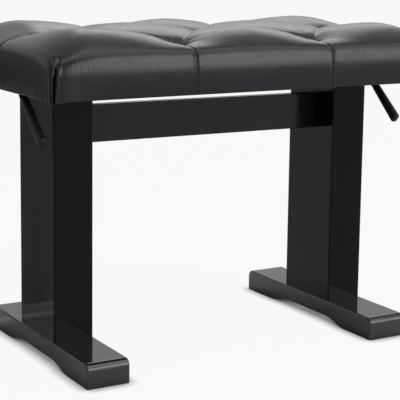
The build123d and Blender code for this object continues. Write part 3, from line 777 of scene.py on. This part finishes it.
# Diagonal pleats between tufts: start, end, and depth at the start, middle and end
def pleatLines(look):
    edge = [tuft for tuft in tuftPlaces(look) if tuft[1]]
    middle = [tuft for tuft in tuftPlaces(look) if not tuft[1]]
    near = look["endTufts"] * look["pleatReach"]
    return [((x, y), (mx, my), (depth, look["pleatDepth"], innerDepth))
            for x, y, depth in edge for mx, my, innerDepth in middle if abs(mx - x) < near]


# Straight seams from the outer tufts over the edge and down to the hem
def seamLines(look, sheetX, sheetY, wall):
    c, rim, hem = look["endTufts"], look["seamDepth"], look["seamDepth"] * look["seamAtHem"]
    stop = look["seamStop"]
    lines = []
    for x, y, depth in tuftPlaces(look):
        if y:
            over = (x, math.copysign(sheetY - stop, y))
            foot = (x, math.copysign(sheetY + wall, y))
        elif abs(x) == c:
            over = (math.copysign(sheetX - stop, x), 0.0)
            foot = (math.copysign(sheetX + wall, x), 0.0)
        else:
            continue
        lines.append(((x, y), over, (depth, depth * look["seamMidway"], rim)))
        lines.append((over, foot, (rim, (rim + hem) / 2, hem)))
    return lines


def alongSeam(points, start, end):
    start, end = np.array(start), np.array(end)
    line = end - start
    share = np.clip(((points - start) @ line) / (line @ line), 0, 1)
    away = points - (start + share[:, None] * line)
    return share, np.hypot(away[:, 0], away[:, 1])


# The sheet with its sides hanging from the rim, one extruded row at a time, and each point's
# place on the flat leather
def makeSheet(look, sheetX, sheetY, wall):
    deselect()
    bpy.ops.mesh.primitive_grid_add(
        x_subdivisions=look["cellsAlong"], y_subdivisions=look["cellsAcross"], size=2)
    cover = bpy.context.object
    cover.name = "seat_leather"
    editOpenEdge(cover)
    for _ in range(look["sideRows"]):
        bpy.ops.mesh.extrude_region_move(TRANSFORM_OT_translate={"value": (0, 0, -1)})
    bpy.ops.object.mode_set(mode="OBJECT")

    points = readPoints(cover)
    column = np.rint((points[:, 0] + 1) / 2 * look["cellsAlong"]).astype(int)
    line = np.rint((points[:, 1] + 1) / 2 * look["cellsAcross"]).astype(int)
    row = np.rint(-points[:, 2]) / look["sideRows"]
    tufts = (-look["frontTufts"], look["frontTufts"])
    fineness = look["tighter"]
    onX = tightened(sheetX, look["cellsAlong"], (-sheetX, *tufts, sheetX), *fineness)[column]
    onY = tightened(sheetY, look["cellsAcross"], (-sheetY, 0.0, sheetY), *fineness)[line]
    for name, place, half in (("flatX", onX, sheetX), ("flatY", onY, sheetY)):
        down = np.where(np.abs(place) > half - 1e-6, row * wall, 0)
        keepValues(cover, name, place + np.sign(place) * down)
    return cover, onX, onY, row


def shapeSeat(cover, look, onX, onY, row, box, lines):
    low, high = box
    crown, bottom, curve = look["crown"], low.z, edgeCurve(look)
    halfX, halfY = high.x + look["proud"], high.y + look["proud"]
    planX, fallX = overEdge(onX, halfX, curve)
    planY, fallY = overEdge(onY, halfY, curve)
    fall = np.maximum(fallX, fallY)
    rim = look["rimHeight"] + (crown - look["rimHeight"]) * (1 - fallX) * (1 - fallY)
    fromCorner = np.hypot(halfX - np.abs(planX), halfY - np.abs(planY))
    sag = look["cornerSag"] * np.clip(1 - fromCorner / look["sagReach"], 0, 1) ** 2
    sag += look["leftSag"] * (0.5 - planX / (high.x - low.x))
    z = rim + (bottom - sag - rim) * row

    # the plan's corners are rounded
    reach = look["cornerReach"]
    nearX = np.clip(1 - (halfX - np.abs(planX)) / reach, 0, 1)
    nearY = np.clip(1 - (halfY - np.abs(planY)) / reach, 0, 1)
    inX = reach * nearX * (1 - np.sqrt(1 - look["cornerRound"] * nearY ** 2 / 2))
    inY = reach * nearY * (1 - np.sqrt(1 - look["cornerRound"] * nearX ** 2 / 2))
    # and the sides turn in a little towards the hem, except at the corners
    begins, fade = look["turnFade"]
    under = look["underTurn"] * row ** 2 * np.clip((fromCorner - begins) / fade, 0, 1)
    inX += under * (fallX > 0.999)
    inY += under * (fallY > 0.999)
    plan = np.stack([planX - np.sign(planX) * inX, planY - np.sign(planY) * inY, z], 1)
    writePoints(cover, plan)

    # pleats and seams press in, along the surface's own direction
    flat = np.stack([keptValues(cover, "flatX"), keptValues(cover, "flatY")], 1)
    dent, nearest = np.zeros(len(plan)), np.full(len(plan), 1.0)
    onTop = smooth(np.clip(1 - fall / look["slopeStop"], 0, 1))
    for start, end, depths in lines:
        share, away = alongSeam(flat, start, end)
        depth = np.interp(share, (0, 0.5, 1), depths)
        slope = np.clip(1 - away / look["slopeReach"], 0, 1) ** look["slopeCurve"] * onTop
        t = np.clip(away / look["creaseReach"], 0, 1)
        crease = 1 - np.sqrt(2 * t - t * t)
        mix = look["creaseShare"]
        dent += (depth * (slope * (1 - mix) + crease * mix)) ** look["blend"]
        nearest = np.minimum(nearest, away)
    depth = dent ** (1 / look["blend"])
    writePoints(cover, plan - readPoints(cover, "normal") * depth[:, None])
    fade = look["heldFade"]
    held = np.clip(look["heldFirm"] * (1 - nearest / look["heldReach"]), 0, 1)
    held = np.maximum(held, np.clip((fall - look["heldEdge"]) / fade, 0, look["heldSide"]))
    held = np.maximum(held, np.clip((row - look["heldWall"]) / fade, 0, 1))
    return held


# Air pressure swells the leather between the places that hold it
def swellSeat(cover, look, held):
    selectOnly(cover)
    group = cover.vertex_groups.new(name="held")
    steps = 10
    for share in np.linspace(1 / steps, 1, steps):
        chosen = np.nonzero((held > share - 1 / steps) & (held <= share))[0]
        group.add(chosen.tolist(), float(share), "REPLACE")
    start = readPoints(cover)
    bpy.ops.object.modifier_add(type="CLOTH")
    cloth = cover.modifiers[-1]
    for name, value in look["cloth"].items():
        setattr(cloth.settings, name, value)
    cloth.settings.effector_weights.gravity = 0
    cloth.settings.vertex_group_mass = "held"
    for frameNumber in range(1, look["frames"] + 1):
        bpy.context.scene.frame_set(frameNumber)
    bpy.ops.object.modifier_apply(modifier=cloth.name)
    moved = readPoints(cover) - start
    length = np.linalg.norm(moved, axis=1)
    most = look["swellCap"]
    kept = most * np.tanh(length / most) / np.maximum(length, 1e-9)
    writePoints(cover, start + moved * kept[:, None])
    bpy.context.scene.frame_set(1)
    cover.vertex_groups.clear()
    print("seat swollen by up to", round(float(length.max()) * 1000, 1), "mm")


# Creases, stitched grooves, tucks and fine wrinkles, on the finer mesh
def foldSeat(cover, look, folds, pleats, seams, box):
    random = np.random.default_rng(folds["seed"])
    points, normals = readPoints(cover), readPoints(cover, "normal")
    flatX, flatY = keptValues(cover, "flatX"), keptValues(cover, "flatY")
    flat = np.stack([flatX, flatY], 1)
    rise = np.zeros(len(points))

    anyPhase = (0, 6)
    depth, width = folds["pleat"]
    midway, more = folds["pleatShare"]
    for start, end, _ in pleats:
        share, away = alongSeam(flat, start, end)
        rise -= depth * bump(away, width) * (midway + more * np.abs(2 * share - 1))
    depth, width = folds["seam"]
    lip, lipPlace, lipWidth = folds["lip"]
    height, pitch, reach = folds["pucker"]
    sway, swayPace = folds["puckerSway"]
    for start, end, _ in seams:
        share, away = alongSeam(flat, start, end)
        beside = bump(away - lipPlace, lipWidth)
        rise += lip * beside - depth * bump(away, width)
        along = share * math.dist(start, end) / pitch
        phase = sway * np.sin(along * swayPace) + random.uniform(*anyPhase)
        ripple = height * np.sin(2 * math.pi * along + phase)
        rise += ripple * np.exp(-away / reach) * beside.clip(folds["puckerLeast"])
    height, reach = folds["tuck"]
    for x, y, _ in tuftPlaces(look):
        across, back = flatX - x, flatY - y
        away, angle = np.hypot(across, back), np.arctan2(back, across)
        waves = sum(
            np.sin(count * angle + random.uniform(*anyPhase)) for count in folds["tuckWaves"])
        fan = waves / folds["tuckShare"]
        rise += height * fan * np.exp(-away / reach) * (1 - bump(away, folds["tuft"][1]))
        for deep, width in (folds["tuft"], folds["bowl"]):
            rise -= deep * bump(away, width)

    # upright wrinkles on the rolled edges, in patches
    height, pitch = folds["streak"]
    above, width = folds["streakBand"]
    sway, swayPace = folds["streakSway"]
    sheetX, sheetY = sheetHalves(look, box)
    for run, across, sheet in ((flatX, flatY, sheetY), (flatY, flatX, sheetX)):
        onRoll = bump(np.abs(across) - (sheet - above), width)
        patches = sum(np.sin(run * pace + phase) for pace, phase in folds["streakPatches"])
        lines = np.sin(run / pitch * 2 * math.pi + sway * np.sin(run * swayPace))
        rise += height * lines * patches.clip(0) * onRoll

    # the leather is folded over itself at the corners
    halfX, halfY = box[1].x + look["proud"], box[1].y + look["proud"]
    fromCorner = (halfX - np.abs(points[:, 0])) - (halfY - np.abs(points[:, 1]))
    top = look["rimHeight"] + folds["foldTop"]
    below = top - points[:, 2]
    share = np.clip(below / (top - box[0].z), 0, 1)
    begun = smooth(np.clip(below / folds["foldFade"], 0, 1))
    tucked = np.zeros(len(points))
    for *atTop, depth, width, place, start in folds["cornerFolds"]:
        depth, width, place = [
            np.interp(share, (0, 1), ends) for ends in zip(atTop, (depth, width, place))]
        later = np.clip((share - start) / folds["foldLater"], 0, 1) if start else 1
        tucked += begun * later * depth * bump(fromCorner - place, width)
    # they press in half way between the two sides
    diagonal = 0.7071
    inwards = np.stack([-np.sign(flatX), -np.sign(flatY), np.zeros(len(points))], 1) * diagonal
    writePoints(cover, points + normals * rise[:, None] + inwards * tucked[:, None])


# A row of the open edge is extruded and moved in, in plan, to the given height
def turnIn(cover, inset, height):
    count = len(cover.data.vertices)
    editOpenEdge(cover)
    bpy.ops.mesh.extrude_region_move(TRANSFORM_OT_translate={"value": (0, 0, 0)})
    bpy.ops.object.mode_set(mode="OBJECT")
    points = readPoints(cover)
    edge = points[count:]
    half = np.abs(edge[:, :2]).max(0)
    edge[:, :2] *= (half - inset) / half
    edge[:, 2] = height
    writePoints(cover, points)


def closeUnderside(cover, hem, box, boardTop):
    bottom, above = box[0].z, box[0].z + hem["thickness"]
    edgeIn, edgeDown = hem["edge"]
    for inset, height in (
            (edgeIn, bottom - edgeDown), (hem["width"], bottom), (0.0, above),
            (hem["wallInset"] - hem["width"], above), (0.0, boardTop + hem["boardClear"])):
        turnIn(cover, inset, height)
    editOpenEdge(cover)
    bpy.ops.mesh.edge_face_add()
    bpy.ops.mesh.select_all(action="SELECT")
    bpy.ops.mesh.quads_convert_to_tris()
    bpy.ops.mesh.normals_make_consistent(inside=False)
    bpy.ops.object.mode_set(mode="OBJECT")


def makeSeat(look, folds, hem, box):
    sheetX, sheetY = sheetHalves(look, box)
    wall = look["rimHeight"] - box[0].z
    cover, onX, onY, row = makeSheet(look, sheetX, sheetY, wall)
    pleats, seams = pleatLines(look), seamLines(look, sheetX, sheetY, wall)
    held = shapeSeat(cover, look, onX, onY, row, box, pleats + seams)
    swellSeat(cover, look, held)
    applyModifier(cover, "SUBSURF", levels=1, render_levels=1)
    foldSeat(cover, look, folds, pleats, seams, box)
    closeUnderside(cover, hem, box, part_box("seat_board")[1].z)
    bpy.ops.object.shade_smooth()
    cover.data.materials.append(leather)
    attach(cover, "seat")
    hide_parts("seat_cover", "seat_cushion")
    print("seat leather made,", len(cover.data.polygons), "faces")


makeSeat(seatLook, foldLook, hemLook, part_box("seat_cover"))


# Grips: moulded bars with well rounded edges, a parting line and a pocket for the arm

gripLook = {
    "spread": 0.2925, "shaftHeight": 0.4025,    # middle of each lever's hub
    "slope": 48.3,              # degrees from straight down, towards the player
    "start": 0.038, "end": 0.1285,              # from the shaft
    "thickness": 0.011, "topWidth": 0.010, "endWidth": 0.0155,
    "rounding": 0.0047, "roundSteps": 6, "smoothAngle": 35,
    "lineWidth": 0.0005, "lineHeight": 0.00012,
    "pocket": (0.0052, 0.0072, 0.1167),         # thickness, width and depth from the shaft
}


def selectVertices(piece, chosen):
    bpy.ops.object.mode_set(mode="OBJECT")
    for vertex in piece.data.vertices:
        vertex.select = bool(chosen(vertex.co))
    for edge in piece.data.edges:
        edge.select = all(piece.data.vertices[i].select for i in edge.vertices)
    for face in piece.data.polygons:
        face.select = all(piece.data.vertices[i].select for i in face.vertices)
    bpy.ops.object.mode_set(mode="EDIT")


# A box added between two corners
def addBlock(name, low, high):
    deselect()
    middle = [(a + b) / 2 for a, b in zip(low, high)]
    bpy.ops.mesh.primitive_cube_add(size=1, location=middle)
    block = bpy.context.object
    block.name = name
    block.scale = [b - a for a, b in zip(low, high)]
    bpy.ops.object.transform_apply()
    return block


def makeGrip(side, look, material):
    half, top, end = look["thickness"] / 2, look["topWidth"] / 2, look["endWidth"] / 2
    grip = addBlock(
        side + "_grip_handle", (-half, -top, -look["end"]), (half, top, -look["start"]))
    middle = -(look["start"] + look["end"]) / 2
    bpy.ops.object.mode_set(mode="EDIT")
    bpy.ops.mesh.select_mode(type="VERT")
    selectVertices(grip, lambda place: place.z < middle)
    bpy.ops.transform.resize(value=(1, end / top, 1))
    bpy.ops.mesh.select_all(action="SELECT")
    bpy.ops.mesh.bevel(offset=look["rounding"], segments=look["roundSteps"], affect="EDGES",
                       clamp_overlap=True)
    bpy.ops.mesh.select_all(action="SELECT")
    bpy.ops.mesh.bisect(plane_co=(0, 0, 0), plane_no=(1, 0, 0))
    bpy.ops.mesh.bevel(offset=look["lineWidth"], segments=2, affect="EDGES")
    selectVertices(grip, lambda place: math.isclose(place.x, 0, abs_tol=1e-5))
    bpy.ops.transform.shrink_fatten(value=look["lineHeight"])
    bpy.ops.object.mode_set(mode="OBJECT")
    thick, wide, deep = look["pocket"]
    arm = addBlock("arm", (-thick / 2, -wide / 2, -deep), (thick / 2, wide / 2, 0))
    applyModifier(grip, "BOOLEAN", operation="DIFFERENCE", object=arm, solver="EXACT")
    bpy.data.objects.remove(arm)
    grip.rotation_euler.x = math.radians(-look["slope"])
    sign = -1 if side == "left" else 1
    grip.location = (sign * look["spread"], 0, look["shaftHeight"])
    selectOnly(grip)
    bpy.ops.object.transform_apply()
    bpy.ops.object.shade_smooth_by_angle(angle=math.radians(look["smoothAngle"]))
    grip.data.materials.clear()
    grip.data.materials.append(material)
    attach(grip, "release")
    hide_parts(side + "_grip")


for side in ("left", "right"):
    makeGrip(side, gripLook, made["gripPlastic"])
print("grips made")


# Staples that hold the leather's hem under the rails

stapleLook = {
    "pitch": 0.031, "inset": 0.0066, "clearOfCorners": 0.036,
    "width": 0.0105, "wire": (0.0012, 0.0007),  # broad and thick
    "sunk": 0.0002,             # into the leather
    "legTaper": 0.0009, "rounding": 0.0002,     # the legs bend round at either end
    "askew": 0.05, "seed": 11,  # how much they turn, in radians
}


def stapleRows(look, box):
    low, high = box
    for along, across in ((0, 1), (1, 0)):
        reach = high[along] - look["clearOfCorners"]
        count = int(2 * reach / look["pitch"])
        for place in np.linspace(-reach, reach, count + 1):
            for sign in (-1, 1):
                middle = [0.0, 0.0, low.z]
                middle[along] = float(place)
                middle[across] = sign * (high[across] - look["inset"])
                yield middle, along


def makeStaples(look, box, material):
    broad, thick = look["wire"]
    half = look["width"] / 2
    first = addBlock("staple", (-half, -broad / 2, -thick + look["sunk"]),
                     (half, broad / 2, look["sunk"]))
    bpy.ops.object.mode_set(mode="EDIT")
    selectVertices(first, lambda place: place.z < 0)
    bpy.ops.transform.resize(value=(1 - look["legTaper"] / half, 1, 1))
    bpy.ops.mesh.select_all(action="SELECT")
    bpy.ops.mesh.bevel(offset=look["rounding"], segments=1, affect="EDGES")
    bpy.ops.object.mode_set(mode="OBJECT")
    random = np.random.default_rng(look["seed"])
    copies = []
    for middle, along in stapleRows(look, box):
        copy = first.copy()
        copy.data = first.data.copy()
        bpy.context.scene.collection.objects.link(copy)
        copy.location = middle
        copy.rotation_euler.z = along * math.pi / 2 + random.normal(0, look["askew"])
        copies.append(copy)
    bpy.data.objects.remove(first)
    deselect()
    for copy in copies:
        copy.select_set(True)
    bpy.context.view_layer.objects.active = copies[0]
    bpy.ops.object.join()
    staples = bpy.context.object
    staples.name = "hem_staples"
    bpy.ops.object.transform_apply()
    staples.data.materials.append(material)
    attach(staples, "seat")
    print("staples made,", len(copies))


makeStaples(stapleLook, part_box("seat_cover"), made["zincSteel"])
